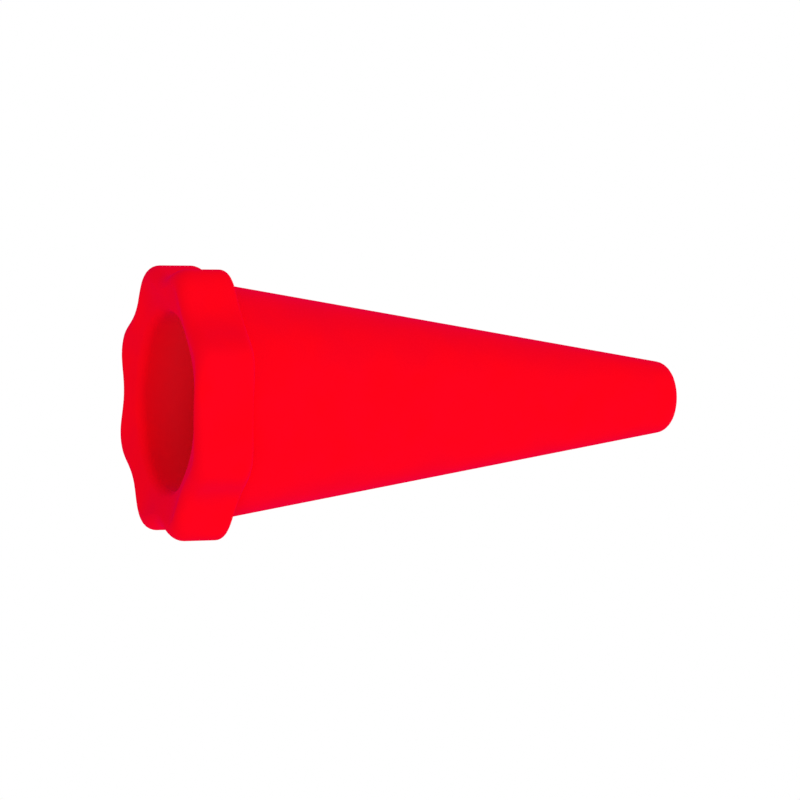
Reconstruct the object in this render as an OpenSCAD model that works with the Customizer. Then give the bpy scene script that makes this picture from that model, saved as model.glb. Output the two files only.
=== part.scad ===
// Slip-on signalling cone for a hand torch, standing on its mouth.
// Z is the axis, the origin is the centre of the mouth, and the closed tip points up.
// The tapered shell drops into a channel in the back of the lobed collar, and a bead
// round its foot snaps into a groove there. The torch's head pushes up into the throat.

/* [Overall] */
// Height of the whole cone, from the mouth to the tip
overall_height = 152; // [130:1:200]

/* [Cone shell] */
// Outer diameter of the shell where it meets the back of the collar
root_diameter = 63.9; // [63:0.1:64.5]
// Outer diameter that the taper would reach at the tip, before its edge is rounded
tip_diameter = 19.4; // [14:0.1:30]
// Radius of the rounded edge at the tip
tip_rounding = 3.7; // [3:0.1:5]
// Wall thickness of the shell
shell_wall = 2.2; // [1.8:0.1:2.4]
// Thickness of the closed end
end_wall = 2.6; // [2:0.1:4]

/* [Grip collar] */
// Height of the collar
collar_height = 15.6; // [15:0.1:20]
// Average outer diameter of the lobed outline
collar_diameter = 72; // [71.8:0.1:74]
// Number of grip lobes
lobe_count = 8; // [6:1:10]
// How far the outline swings out and in from its average radius
lobe_swing = 2.3; // [0.5:0.05:2.4]
// Radius of the rounding round the front edge, on top of a lobe
lobe_front_rounding = 4.1; // [3:0.1:4.2]
// Radius of the rounding round the front edge, in a valley between lobes
valley_front_rounding = 3.1; // [2.5:0.1:3.5]
// How far the front edge is set back in the valleys, so that it stands on the lobes
valley_setback = 0.3; // [0:0.05:0.6]
// Radius of the rounding round the back edge, on top of a lobe
lobe_back_rounding = 3; // [1:0.1:3.2]
// Radius of the rounding round the back edge, in a valley between lobes
valley_back_rounding = 0.7; // [0.4:0.1:1]

/* [Mouth] */
// Diameter of the throat that grips the head of the torch
throat_diameter = 48; // [46:0.1:48.4]
// Depth of the dished face that leads in to the throat
dish_depth = 2.6; // [1.5:0.1:4]
// Wall thickness of the sleeve round the throat
sleeve_wall = 2.4; // [1.8:0.1:2.6]
// How far the sleeve stands up behind the collar, inside the shell
sleeve_rise = 3; // [1:0.5:8]

/* [Snap joint] */
// Depth of the channel that holds the foot of the shell
channel_depth = 10; // [9:0.1:10.5]
// Gap between the foot of the shell and the walls of the channel
channel_gap = 0.1; // [0.05:0.01:0.15]
// How far the snap bead stands out of the foot
bead_rise = 0.7; // [0.4:0.1:0.8]

/* [Hidden] */
$fn = 96;

// Throat, sleeve, channel and foot, from the axis outwards
throat_radius = throat_diameter / 2;
sleeve_radius = throat_radius + sleeve_wall;
foot_inner_radius = sleeve_radius + channel_gap;
foot_radius = foot_inner_radius + shell_wall;
channel_radius = foot_radius + channel_gap;
channel_floor = collar_height - channel_depth;
sleeve_top = collar_height + sleeve_rise;

// Snap bead, low on the foot, as a ring that stays just inside the foot's wall
foot_clearance = 0.3;
bead_clearance = 3.2;
bead_share = 0.48;
foot_bottom = channel_floor + foot_clearance;
bead_height = channel_floor + bead_clearance;
bead_radius = bead_share * (shell_wall + bead_rise);
bead_centre_radius = foot_radius + bead_rise - bead_radius;

// Taper of the shell
root_radius = root_diameter / 2;
tip_radius = tip_diameter / 2;
taper = (root_radius - tip_radius) / (overall_height - collar_height);
taper_angle = atan(taper);
inner_tip_rounding = tip_rounding - shell_wall / 2;
flare_start = collar_height + 1;

// Lead-in on the foot, the narrow flat on which the mouth stands, how far a cut runs past
// the end of what it cuts, and how far the dished face runs in past the throat's wall
lead_in = 0.5;
land_width = 0.5;
overcut = 1;
face_overlap = 0.2;

// Outline of the collar
mean_radius = collar_diameter / 2;
sharpness_share = 1 / 16;
lobe_sharpness = lobe_swing * sharpness_share;
land_share = 0.85;
steps_per_lobe = 12;
outline_steps = lobe_count * steps_per_lobe;
rounding_steps = 4;

// Points on an arc about a centre, from one angle to another
function arc(centre, radius, start, end, steps = 8) =
    [for (i = [0 : steps]) let (a = start + (end - start) * i / steps)
        centre + radius * [cos(a), sin(a)]];

// Outer radius of the shell's taper at a height
function taper_radius(height) = tip_radius + taper * (overall_height - height);

// Centre of an arc that rounds the taper into a level line at a height,
// where the taper has been moved inwards by a distance
function rounding_centre(level, radius, inset) =
    [taper_radius(level - radius) - (radius + inset) / cos(taper_angle), level - radius];

// Share of the way up a lobe, 0 in a valley and 1 on top
function lobe_share(angle) = (1 + cos(lobe_count * angle)) / 2;

// Radius of the collar's lobed outline in a direction
function outline_radius(angle) =
    mean_radius + lobe_swing * cos(lobe_count * angle)
    + lobe_sharpness * cos(2 * lobe_count * angle);

// A size in a direction that differs between the valleys and the tops of the lobes
function between_lobes(valley, lobe, angle) = valley + (lobe - valley) * lobe_share(angle);

// Height of the front edge in a direction, 0 from the top of a lobe to a little way down it
function edge_height(angle) = valley_setback * max(0, 1 - lobe_share(angle) / land_share);

// The collar's profile in a direction, as [radius, height] from the throat, round the
// front edge and up the side to the back edge
function collar_profile(angle) =
    let (side = outline_radius(angle),
         edge = edge_height(angle),
         front = between_lobes(valley_front_rounding, lobe_front_rounding, angle),
         back = between_lobes(valley_back_rounding, lobe_back_rounding, angle),
         crest = side - front)
    concat(
        [[throat_radius - face_overlap, dish_depth],
         [crest - land_width, edge]],
        arc([crest, edge + front], front, -90, 0, rounding_steps),
        arc([side - back, collar_height - back], back, 0, 90, rounding_steps));

// A closed solid from profiles set round the axis, each with the same number of points
module swept_profiles(profiles) {
    turns = len(profiles);
    rings = len(profiles[0]);
    points = [for (t = [0 : turns - 1]) for (p = profiles[t])
        [p[0] * cos(360 * t / turns), p[0] * sin(360 * t / turns), p[1]]];
    function at(turn, ring) = (turn % turns) * rings + ring;
    walls = [for (t = [0 : turns - 1]) for (r = [0 : rings - 2])
        [at(t, r), at(t, r + 1), at(t + 1, r + 1), at(t + 1, r)]];
    front_cap = [for (t = [0 : turns - 1]) at(t, 0)];
    back_cap = [for (t = [turns - 1 : -1 : 0]) at(t, rings - 1)];
    polyhedron(points, concat(walls, [front_cap, back_cap]), convexity = 10);
}

// Solid lobed collar with its dished front, before the throat and channel are cut
module collar_body() {
    swept_profiles([for (t = [0 : outline_steps - 1]) collar_profile(360 * t / outline_steps)]);
}

// Snap bead as a solid ring, which the groove follows with a gap all round
module bead_ring(gap = 0) {
    rotate_extrude()
        translate([bead_centre_radius, bead_height])
            circle(r = bead_radius + gap);
}

// Tapered translucent shell with a closed tip and a stepped foot
module cone_shell() {
    shoulder_flare = taper_radius(collar_height) - shell_wall - foot_inner_radius;
    flare_top = flare_start + shoulder_flare;
    inner_inset = shell_wall * cos(taper_angle);
    outside = concat(
        [[foot_inner_radius, foot_bottom],
         [foot_radius - lead_in, foot_bottom],
         [foot_radius, foot_bottom + lead_in],
         [foot_radius, collar_height],
         [root_radius, collar_height]],
        arc(rounding_centre(overall_height, tip_rounding, 0), tip_rounding, taper_angle, 90),
        [[0, overall_height]]);
    inside = concat(
        [[0, overall_height - end_wall]],
        arc(rounding_centre(overall_height - end_wall, inner_tip_rounding, inner_inset),
            inner_tip_rounding, 90, taper_angle),
        [[taper_radius(flare_top) - shell_wall, flare_top],
         [foot_inner_radius, flare_start]]);
    color("red", 0.9)
        union() {
            rotate_extrude() polygon(concat(outside, inside));
            bead_ring();
        }
}

// Soft lobed collar: its back is hollowed out as far as the channel's outer wall, and the
// sleeve round the throat stands in that hollow, which leaves the channel between them
module grip_collar() {
    color("crimson")
        difference() {
            union() {
                difference() {
                    collar_body();
                    translate([0, 0, channel_floor])
                        cylinder(r = channel_radius, h = channel_depth + overcut);
                    bead_ring(channel_gap);
                }
                translate([0, 0, channel_floor - overcut])
                    cylinder(r = sleeve_radius, h = sleeve_top - channel_floor + overcut);
            }
            cylinder(r = throat_radius, h = sleeve_top + overcut);
        }
}

cone_shell();
grip_collar();
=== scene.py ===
"""Slip-on signalling cone for a hand torch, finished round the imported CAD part.

The cone stands on its mouth with its axis up Z, and the camera looks up into the mouth from a
little below it, which is the angle of the photograph. Both CAD nodes are replaced by smooth
meshes of the same size: the tapered shell, and the lobed collar that holds its foot.
"""

from math import atan2, cos, pi, radians, sin, sqrt, tan

import bpy
from mathutils import Matrix, Vector


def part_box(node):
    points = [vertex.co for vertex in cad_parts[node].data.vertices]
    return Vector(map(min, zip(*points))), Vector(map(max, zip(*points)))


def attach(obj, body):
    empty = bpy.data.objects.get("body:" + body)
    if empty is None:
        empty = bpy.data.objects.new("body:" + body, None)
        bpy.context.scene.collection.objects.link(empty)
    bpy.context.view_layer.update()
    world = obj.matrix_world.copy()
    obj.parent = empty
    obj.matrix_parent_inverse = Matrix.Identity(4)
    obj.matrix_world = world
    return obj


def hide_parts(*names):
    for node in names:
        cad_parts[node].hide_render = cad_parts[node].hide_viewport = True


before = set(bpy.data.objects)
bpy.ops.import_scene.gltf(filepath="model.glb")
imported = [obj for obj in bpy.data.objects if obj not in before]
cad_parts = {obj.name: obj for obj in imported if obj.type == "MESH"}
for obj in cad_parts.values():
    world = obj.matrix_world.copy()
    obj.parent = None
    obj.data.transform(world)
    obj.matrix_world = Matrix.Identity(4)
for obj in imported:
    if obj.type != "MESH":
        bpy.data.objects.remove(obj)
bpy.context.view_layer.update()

MM = 0.001

# Shell of the CAD part, in millimetres like every size below up to the camera's
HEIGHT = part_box("cone_shell")[1].z / MM
COLLAR_HEIGHT = 15.6
ROOT_RADIUS = 31.95
TIP_RADIUS = 9.7
TIP_ROUNDING = 3.7
SHELL_WALL = 2.2
END_WALL = 2.6
INNER_TIP_ROUNDING = TIP_ROUNDING - SHELL_WALL / 2
FLARE_RISE = 1.0
FLARE_START = COLLAR_HEIGHT + FLARE_RISE

# Lobed outline of the collar, and its edges on the lobes and in the valleys between them
LOBE_COUNT = 8
MEAN_RADIUS = 36.0
LOBE_SWING = 2.3
LOBE_SHARPNESS = LOBE_SWING / 16
LOBE_FRONT_ROUNDING = 4.1
VALLEY_FRONT_ROUNDING = 3.1
LOBE_BACK_ROUNDING = 3.0
VALLEY_BACK_ROUNDING = 0.7
VALLEY_SETBACK = 0.3
LAND_SHARE = 0.85
LAND_WIDTH = 0.5

# Throat, sleeve, foot of the shell and channel, from the axis outwards
GAP = 0.1
THROAT_RADIUS = 24.0
DISH_DEPTH = 2.6
SLEEVE_RADIUS = 26.4
SLEEVE_RISE = 3.0
SLEEVE_TOP = COLLAR_HEIGHT + SLEEVE_RISE
FOOT_INNER_RADIUS = SLEEVE_RADIUS + GAP
FOOT_RADIUS = FOOT_INNER_RADIUS + SHELL_WALL
FOOT_BOTTOM = 5.9
CHANNEL_RADIUS = FOOT_RADIUS + GAP
CHANNEL_FLOOR = 5.6

# Snap bead round the foot
BEAD_HEIGHT = 8.8
BEAD_RADIUS = 1.39
BEAD_CENTRE_RADIUS = 28.01

# Roundings that the CAD part leaves out
THROAT_ROUNDING = 3.0
LAND_ROUNDING = 1.0
FOOT_ROUNDING = 0.5
FINE_ROUNDING = 0.3

# Fineness of the meshes, apart from the cuts that a profile gives with its corners, and the
# radius inside which a closed end is a fan of triangles round its middle
TURN_STEPS = 256
ARC_STEPS = 7
BEAD_STEPS = 10
TAPER_CUTS = 40
POLE_RADIUS = 0.5

# Camera, with its distance and the point that it aims at in metres
SENSOR = 36.0
LENS = 138.16
CAMERA_AZIMUTH = 17.45
CAMERA_ELEVATION = -22.15
CAMERA_ROLL = -0.567
CAMERA_DISTANCE = 0.8476
CAMERA_AIM = Vector((0.0001, 0.0001, 0.0702))

# Surroundings: the white that the camera sees, and the light that they give from their dark
# side to their bright side, with the azimuth and elevation of the bright side
WHITE = (1.0, 1.0, 1.0, 1.0)
BACKDROP_STRENGTH = 1.0
SURROUND_STRENGTHS = (0.5, 1.0)
BRIGHT_SIDE = (35, 0)

# Floor, in metres, which fades out between two distances from the cone
FLOOR_SIZE = 8.0
FLOOR_FADE = (0.3, 2.5)
FLOOR_COLOUR = (0.86, 0.86, 0.86, 1.0)
FLOOR_ROUGHNESS = 0.8

# Soft lamps: the azimuth and elevation each shines from, its distance and side in metres, and
# its power
LAMPS = {
    "side_lamp": (0, 15, 3.0, 3.0, 20.0),
    "mouth_lamp": (65, -40, 3.0, 1.8, 14.0),
    "overhead_lamp": (200, 75, 3.0, 2.4, 12.0),
}

# Moulded plastic: two mottled reds, a duller red painted into the hollow as shade, the finish of
# each piece as its range of roughness and the strength of its grain, and a violet sheen at grazing
# angles
REDS = ((0.95, 0.001, 0.008, 1.0), (0.91, 0.001, 0.01, 1.0))
# Duller red painted into the hollow as shade
HOLLOW_PAINTED_SHADE_RED = (0.93, 0.008, 0.02, 1.0)
SHELL_FINISH = ((0.4, 0.5), 0.5)
COLLAR_FINISH = ((0.52, 0.64), 0.8)
SPECULAR_LEVEL = 0.0
SHEEN_WEIGHT = 0.07
SHEEN_ROUGHNESS = 0.4
SHEEN_TINT = (0.2, 0.0, 1.0, 1.0)

# Noises of the plastic, as scale and detail, where the mottle changes red, and the grain's
# depth in metres
MOTTLE_NOISE = (90.0, 4)
ROUGHNESS_NOISE = (320.0, 3)
GRAIN_NOISE = (2600.0, 2)
MOTTLE_EDGES = (0.35, 0.65)
GRAIN_DEPTH = 0.00002

# Where the painted shade of the hollow, a duller red, starts: at a cone in the middle of the
# shell's wall, and at a cone that meets the throat's wall at this depth and widens upwards this
# much for each millimetre. The painted shade fades in over the blend's distance to each side of a
# cone.
PAINTED_SHADE_DEPTH = 8.0
PAINTED_SHADE_WIDENING = 0.25
PAINTED_SHADE_BLEND = 1.1


def taper_radius(height):
    """Outer radius of the shell's taper at a height."""
    share = (HEIGHT - height) / (HEIGHT - COLLAR_HEIGHT)
    return TIP_RADIUS + (ROOT_RADIUS - TIP_RADIUS) * share


def arc(centre, radius, start, end, steps):
    """Points on an arc about a centre, from one angle to another, as corners with no rounding."""
    angles = [start + (end - start) * step / steps for step in range(steps + 1)]
    return [(centre[0] + radius * cos(a), centre[1] + radius * sin(a), 0, 1) for a in angles]


def round_corner(before, corner, after):
    """Points on the arc that rounds a corner of a path."""
    here = Vector(corner[:2])
    radius = corner[2]
    if radius == 0:
        return [here]
    into = (here - Vector(before[:2])).normalized()
    out = (Vector(after[:2]) - here).normalized()
    turn = atan2(into.x * out.y - into.y * out.x, into.dot(out))
    start = here - into * radius * tan(abs(turn) / 2)
    side = 1 if turn > 0 else -1
    centre = start + Vector((-into.y, into.x)) * radius * side
    turns = [Matrix.Rotation(turn * step / ARC_STEPS, 2) for step in range(ARC_STEPS + 1)]
    return [centre + t @ (start - centre) for t in turns]


def rounded_path(corners):
    """Points of a closed path through corners (radius, height, rounding, cuts). The straight
    stretch after a corner is cut into that many parts."""
    count = len(corners)
    arcs = [
        round_corner(corners[i - 1], corners[i], corners[(i + 1) % count]) for i in range(count)
    ]
    points = []
    for i, corner in enumerate(corners):
        points += arcs[i]
        last, following = arcs[i][-1], arcs[(i + 1) % count][0]
        points += [last.lerp(following, cut / corner[3]) for cut in range(1, corner[3])]
    return points


def swept(name, profile_at, closed):
    """A smooth mesh swept round the Z axis, from the profile in each direction. A profile that
    isn't closed starts and ends near the axis, where a centre point closes the surface."""
    turns = [2 * pi * step / TURN_STEPS for step in range(TURN_STEPS)]
    profiles = [profile_at(turn) for turn in turns]
    rings = len(profiles[0])
    vertices = [
        (p[0] * cos(turn) * MM, p[0] * sin(turn) * MM, p[1] * MM)
        for turn, profile in zip(turns, profiles)
        for p in profile
    ]
    faces = []
    for step in range(TURN_STEPS):
        here, there = step * rings, (step + 1) % TURN_STEPS * rings
        for ring in range(rings if closed else rings - 1):
            following = (ring + 1) % rings
            faces.append((here + ring, there + ring, there + following, here + following))
    if not closed:
        for ring in (0, rings - 1):
            centre = len(vertices)
            vertices.append((0, 0, profiles[0][ring][1] * MM))
            for step in range(TURN_STEPS):
                edge = (step * rings + ring, (step + 1) % TURN_STEPS * rings + ring)
                faces.append((centre, *(edge if ring else edge[::-1])))
    mesh = bpy.data.meshes.new(name)
    mesh.from_pydata(vertices, [], faces)
    mesh.shade_smooth()
    piece = bpy.data.objects.new(name, mesh)
    bpy.context.scene.collection.objects.link(piece)
    return piece


def bead_corners(radius, wall, start_low):
    """Corners of the part of the bead, or of its groove, that stands out of an upright wall."""
    reach = atan2(sqrt(radius**2 - (wall - BEAD_CENTRE_RADIUS) ** 2), wall - BEAD_CENTRE_RADIUS)
    start, end = (-reach, reach) if start_low else (reach, -reach)
    return arc((BEAD_CENTRE_RADIUS, BEAD_HEIGHT), radius, start, end, BEAD_STEPS)


def shell_profile(turn):
    """Radius and height round the wall of the shell, from the middle of its inner end face down
    the inside, round the foot and back up the outside. It is the same in every direction."""
    inner_end = HEIGHT - END_WALL
    inner_tip = taper_radius(inner_end) - SHELL_WALL
    flare_top = FLARE_START + taper_radius(COLLAR_HEIGHT) - SHELL_WALL - FOOT_INNER_RADIUS
    corners = [
        (POLE_RADIUS, inner_end, 0, 3),
        (inner_tip, inner_end, INNER_TIP_ROUNDING, TAPER_CUTS),
        (taper_radius(flare_top) - SHELL_WALL, flare_top, FINE_ROUNDING, 2),
        (FOOT_INNER_RADIUS, FLARE_START, FINE_ROUNDING, 6),
        (FOOT_INNER_RADIUS, FOOT_BOTTOM, FINE_ROUNDING, 1),
        (FOOT_RADIUS, FOOT_BOTTOM, FOOT_ROUNDING, 1),
        *bead_corners(BEAD_RADIUS, FOOT_RADIUS, start_low=True),
        (FOOT_RADIUS, COLLAR_HEIGHT, FINE_ROUNDING, 2),
        (ROOT_RADIUS, COLLAR_HEIGHT, FINE_ROUNDING, TAPER_CUTS),
        (taper_radius(HEIGHT), HEIGHT, TIP_ROUNDING, 3),
        (POLE_RADIUS, HEIGHT, 0, 1),
    ]
    return rounded_path(corners)


def outline_radius(turn):
    """Radius of the collar's lobed outline in a direction."""
    lobes = LOBE_SWING * cos(LOBE_COUNT * turn)
    return MEAN_RADIUS + lobes + LOBE_SHARPNESS * cos(2 * LOBE_COUNT * turn)


def between_lobes(valley, lobe, turn):
    """A size in a direction that differs between the valleys and the tops of the lobes."""
    return valley + (lobe - valley) * (1 + cos(LOBE_COUNT * turn)) / 2


def collar_profile(turn):
    """Radius and height round the section of the collar in a direction: over the front edge, up
    the side, down into the channel, over the sleeve and down the throat."""
    side = outline_radius(turn)
    edge = VALLEY_SETBACK * max(0, 1 - between_lobes(0, 1, turn) / LAND_SHARE)
    front = between_lobes(VALLEY_FRONT_ROUNDING, LOBE_FRONT_ROUNDING, turn)
    back = between_lobes(VALLEY_BACK_ROUNDING, LOBE_BACK_ROUNDING, turn)
    corners = [
        (THROAT_RADIUS, DISH_DEPTH, THROAT_ROUNDING, 4),
        (side - front - LAND_WIDTH, edge, LAND_ROUNDING, 1),
        (side, edge, front, 5),
        (side, COLLAR_HEIGHT, back, 3),
        (CHANNEL_RADIUS, COLLAR_HEIGHT, FINE_ROUNDING, 3),
        *bead_corners(BEAD_RADIUS + GAP, CHANNEL_RADIUS, start_low=False),
        (CHANNEL_RADIUS, CHANNEL_FLOOR, FINE_ROUNDING, 1),
        (SLEEVE_RADIUS, CHANNEL_FLOOR, FINE_ROUNDING, 6),
        (SLEEVE_RADIUS, SLEEVE_TOP, FINE_ROUNDING, 1),
        (THROAT_RADIUS, SLEEVE_TOP, FINE_ROUNDING, 8),
    ]
    return rounded_path(corners)


def noise(nodes, links, scale, detail):
    """Noise through the solid, with features about one metre over the scale across."""
    place = nodes.new("ShaderNodeTexCoord")
    texture = nodes.new("ShaderNodeTexNoise")
    texture.inputs["Scale"].default_value = scale
    texture.inputs["Detail"].default_value = detail
    links.new(place.outputs["Object"], texture.inputs["Vector"])
    return texture.outputs["Fac"]


def remap(nodes, links, value, span, result=(0.0, 1.0), blend="LINEAR"):
    """A value carried from one range over to another."""
    node = nodes.new("ShaderNodeMapRange")
    node.interpolation_type = blend
    node.inputs["From Min"].default_value, node.inputs["From Max"].default_value = span
    node.inputs["To Min"].default_value, node.inputs["To Max"].default_value = result
    links.new(value, node.inputs["Value"])
    return node.outputs["Result"]


def larger(nodes, links, first, second):
    """The larger of two values."""
    node = nodes.new("ShaderNodeMath")
    node.operation = "MAXIMUM"
    links.new(first, node.inputs[0])
    links.new(second, node.inputs[1])
    return node.outputs["Value"]


def length(nodes, links, vector):
    """Length of a vector."""
    node = nodes.new("ShaderNodeVectorMath")
    node.operation = "LENGTH"
    links.new(vector, node.inputs[0])
    return node.outputs["Value"]


def outside_painted_shade(nodes, links, radius, narrowing):
    """Mask of the painted shade: 0 in the hollow, where the duller red is painted as shade, and 1
    outside it. The hollow is a cone about the axis, given by its radius at the height of the mouth
    and how fast it narrows upwards, and ends in the closed end."""
    place = nodes.new("ShaderNodeTexCoord")
    split = nodes.new("ShaderNodeSeparateXYZ")
    links.new(place.outputs["Object"], split.inputs["Vector"])
    level = nodes.new("ShaderNodeCombineXYZ")
    links.new(split.outputs["X"], level.inputs["X"])
    links.new(split.outputs["Y"], level.inputs["Y"])

    mouth_reach = nodes.new("ShaderNodeMath")
    mouth_reach.operation = "MULTIPLY_ADD"
    mouth_reach.inputs[1].default_value = narrowing
    links.new(split.outputs["Z"], mouth_reach.inputs[0])
    links.new(length(nodes, links, level.outputs["Vector"]), mouth_reach.inputs[2])
    wall = ((radius - PAINTED_SHADE_BLEND) * MM, (radius + PAINTED_SHADE_BLEND) * MM)
    beside = remap(nodes, links, mouth_reach.outputs["Value"], wall)

    end_wall = ((HEIGHT - END_WALL) * MM, (HEIGHT - END_WALL / 2) * MM)
    above = remap(nodes, links, split.outputs["Z"], end_wall)
    return larger(nodes, links, beside, above)


def plastic(name, finish, painted_shade_cone):
    """Moulded plastic: a faint mottle between two reds, a duller red painted into the hollow as
    shade, a roughness that varies a little, and the fine grain of the mould."""
    roughness, grain_strength = finish
    material = bpy.data.materials.new(name)
    material.use_nodes = True
    nodes, links = material.node_tree.nodes, material.node_tree.links
    shader = nodes["Principled BSDF"]
    shader.inputs["Specular IOR Level"].default_value = SPECULAR_LEVEL
    shader.inputs["Sheen Weight"].default_value = SHEEN_WEIGHT
    shader.inputs["Sheen Roughness"].default_value = SHEEN_ROUGHNESS
    shader.inputs["Sheen Tint"].default_value = SHEEN_TINT

    mottle = nodes.new("ShaderNodeValToRGB")
    for element, edge, red in zip(mottle.color_ramp.elements, MOTTLE_EDGES, REDS):
        element.position = edge
        element.color = red
    links.new(noise(nodes, links, *MOTTLE_NOISE), mottle.inputs["Fac"])

    # Painted shade: the duller red goes wherever the mask finds the hollow
    colour = nodes.new("ShaderNodeMixRGB")
    colour.inputs["Color1"].default_value = HOLLOW_PAINTED_SHADE_RED
    links.new(outside_painted_shade(nodes, links, *painted_shade_cone), colour.inputs["Fac"])
    links.new(mottle.outputs["Color"], colour.inputs["Color2"])
    links.new(colour.outputs["Color"], shader.inputs["Base Color"])

    unevenness = noise(nodes, links, *ROUGHNESS_NOISE)
    links.new(remap(nodes, links, unevenness, (0.0, 1.0), roughness), shader.inputs["Roughness"])

    grain = nodes.new("ShaderNodeBump")
    grain.inputs["Strength"].default_value = grain_strength
    grain.inputs["Distance"].default_value = GRAIN_DEPTH
    links.new(noise(nodes, links, *GRAIN_NOISE), grain.inputs["Height"])
    links.new(grain.outputs["Normal"], shader.inputs["Normal"])
    return material


def one_sided_floor_material():
    """Pale floor that can only be seen from above, and fades out into the surroundings."""
    material = bpy.data.materials.new("pale_floor")
    material.use_nodes = True
    nodes, links = material.node_tree.nodes, material.node_tree.links
    shader = nodes["Principled BSDF"]
    shader.inputs["Base Color"].default_value = FLOOR_COLOUR
    shader.inputs["Roughness"].default_value = FLOOR_ROUGHNESS

    geometry = nodes.new("ShaderNodeNewGeometry")
    reach = length(nodes, links, geometry.outputs["Position"])
    faded = remap(nodes, links, reach, FLOOR_FADE, blend="SMOOTHSTEP")
    clear = nodes.new("ShaderNodeBsdfTransparent")
    mix = nodes.new("ShaderNodeMixShader")
    links.new(larger(nodes, links, geometry.outputs["Backfacing"], faded), mix.inputs["Fac"])
    links.new(shader.outputs["BSDF"], mix.inputs[1])
    links.new(clear.outputs["BSDF"], mix.inputs[2])
    links.new(mix.outputs["Shader"], nodes["Material Output"].inputs["Surface"])
    return material


def make_floor():
    """Floor at the level of the mouth, seen only from above, which blocks no light from below."""
    half = FLOOR_SIZE / 2
    mesh = bpy.data.meshes.new("floor")
    corners = [(-half, -half, 0), (half, -half, 0), (half, half, 0), (-half, half, 0)]
    mesh.from_pydata(corners, [], [(0, 1, 2, 3)])
    mesh.materials.append(one_sided_floor_material())
    floor = bpy.data.objects.new("floor", mesh)
    bpy.context.scene.collection.objects.link(floor)
    floor.visible_shadow = False
    floor.visible_diffuse = False
    floor.visible_glossy = False
    floor.visible_transmission = False


def direction(azimuth, elevation):
    """Unit vector from the object towards an azimuth from -Y and an elevation, in degrees."""
    a, e = radians(azimuth), radians(elevation)
    return Vector((sin(a) * cos(e), -cos(a) * cos(e), sin(e)))


def make_camera():
    """Camera at the photograph's angle, turned so that the cone's axis runs across the picture."""
    back = direction(CAMERA_AZIMUTH, CAMERA_ELEVATION)
    axis = Vector((0, 0, 1))
    right = (axis - back * axis.dot(back)).normalized()
    right.rotate(Matrix.Rotation(radians(CAMERA_ROLL), 3, back))
    up = back.cross(right)
    place = CAMERA_AIM + back * CAMERA_DISTANCE
    data = bpy.data.cameras.new("camera")
    data.sensor_width = SENSOR
    data.lens = LENS
    camera = bpy.data.objects.new("camera", data)
    turned = Matrix((right, up, back)).transposed().to_4x4()
    camera.matrix_world = Matrix.Translation(place) @ turned
    bpy.context.scene.collection.objects.link(camera)
    bpy.context.scene.camera = camera


def make_world():
    """White surroundings, which light the cone more from one side than from the other. The
    camera sees them evenly white."""
    world = bpy.data.worlds.new("studio")
    world.use_nodes = True
    nodes, links = world.node_tree.nodes, world.node_tree.links
    surround = nodes["Background"]
    surround.inputs["Color"].default_value = WHITE
    place = nodes.new("ShaderNodeTexCoord")
    towards = nodes.new("ShaderNodeVectorMath")
    towards.operation = "DOT_PRODUCT"
    towards.inputs[1].default_value = direction(*BRIGHT_SIDE)
    links.new(place.outputs["Generated"], towards.inputs[0])
    strength = remap(nodes, links, towards.outputs["Value"], (-1.0, 1.0), SURROUND_STRENGTHS)
    links.new(strength, surround.inputs["Strength"])

    backdrop = nodes.new("ShaderNodeBackground")
    backdrop.inputs["Color"].default_value = WHITE
    backdrop.inputs["Strength"].default_value = BACKDROP_STRENGTH
    path = nodes.new("ShaderNodeLightPath")
    mix = nodes.new("ShaderNodeMixShader")
    links.new(path.outputs["Is Camera Ray"], mix.inputs["Fac"])
    links.new(surround.outputs["Background"], mix.inputs[1])
    links.new(backdrop.outputs["Background"], mix.inputs[2])
    links.new(mix.outputs["Shader"], nodes["World Output"].inputs["Surface"])
    bpy.context.scene.world = world
    bpy.context.scene.view_settings.view_transform = "Standard"


def make_lamps():
    """Soft square lamps that face the middle of the cone."""
    middle = Vector((0, 0, HEIGHT * MM / 2))
    for name, (azimuth, elevation, distance, side, power) in LAMPS.items():
        back = direction(azimuth, elevation)
        data = bpy.data.lights.new(name, "AREA")
        data.shape = "SQUARE"
        data.size = side
        data.energy = power
        lamp = bpy.data.objects.new(name, data)
        lamp.location = middle + back * distance
        lamp.rotation_euler = back.to_track_quat("Z", "Y").to_euler()
        lamp.visible_camera = False
        bpy.context.scene.collection.objects.link(lamp)


# Cone that bounds the painted shade in the shell's hollow
mid_wall_cone = (taper_radius(0) - SHELL_WALL / 2, (taper_radius(0) - TIP_RADIUS) / HEIGHT)
shell = swept("cone_shell_moulding", shell_profile, closed=False)
shell.data.materials.append(plastic("shell_plastic", SHELL_FINISH, mid_wall_cone))

# Cone that bounds the painted shade down the collar's throat
throat_cone = (THROAT_RADIUS - PAINTED_SHADE_DEPTH * PAINTED_SHADE_WIDENING, -PAINTED_SHADE_WIDENING)
collar = swept("grip_collar_moulding", collar_profile, closed=True)
collar.data.materials.append(plastic("collar_rubber", COLLAR_FINISH, throat_cone))

for piece, node, slot in (
    (shell, "cone_shell", "shell_plastic"),
    (collar, "grip_collar", "collar_rubber"),
):
    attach(piece, "root")
    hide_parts(node)

make_floor()
make_camera()
make_world()
make_lamps()
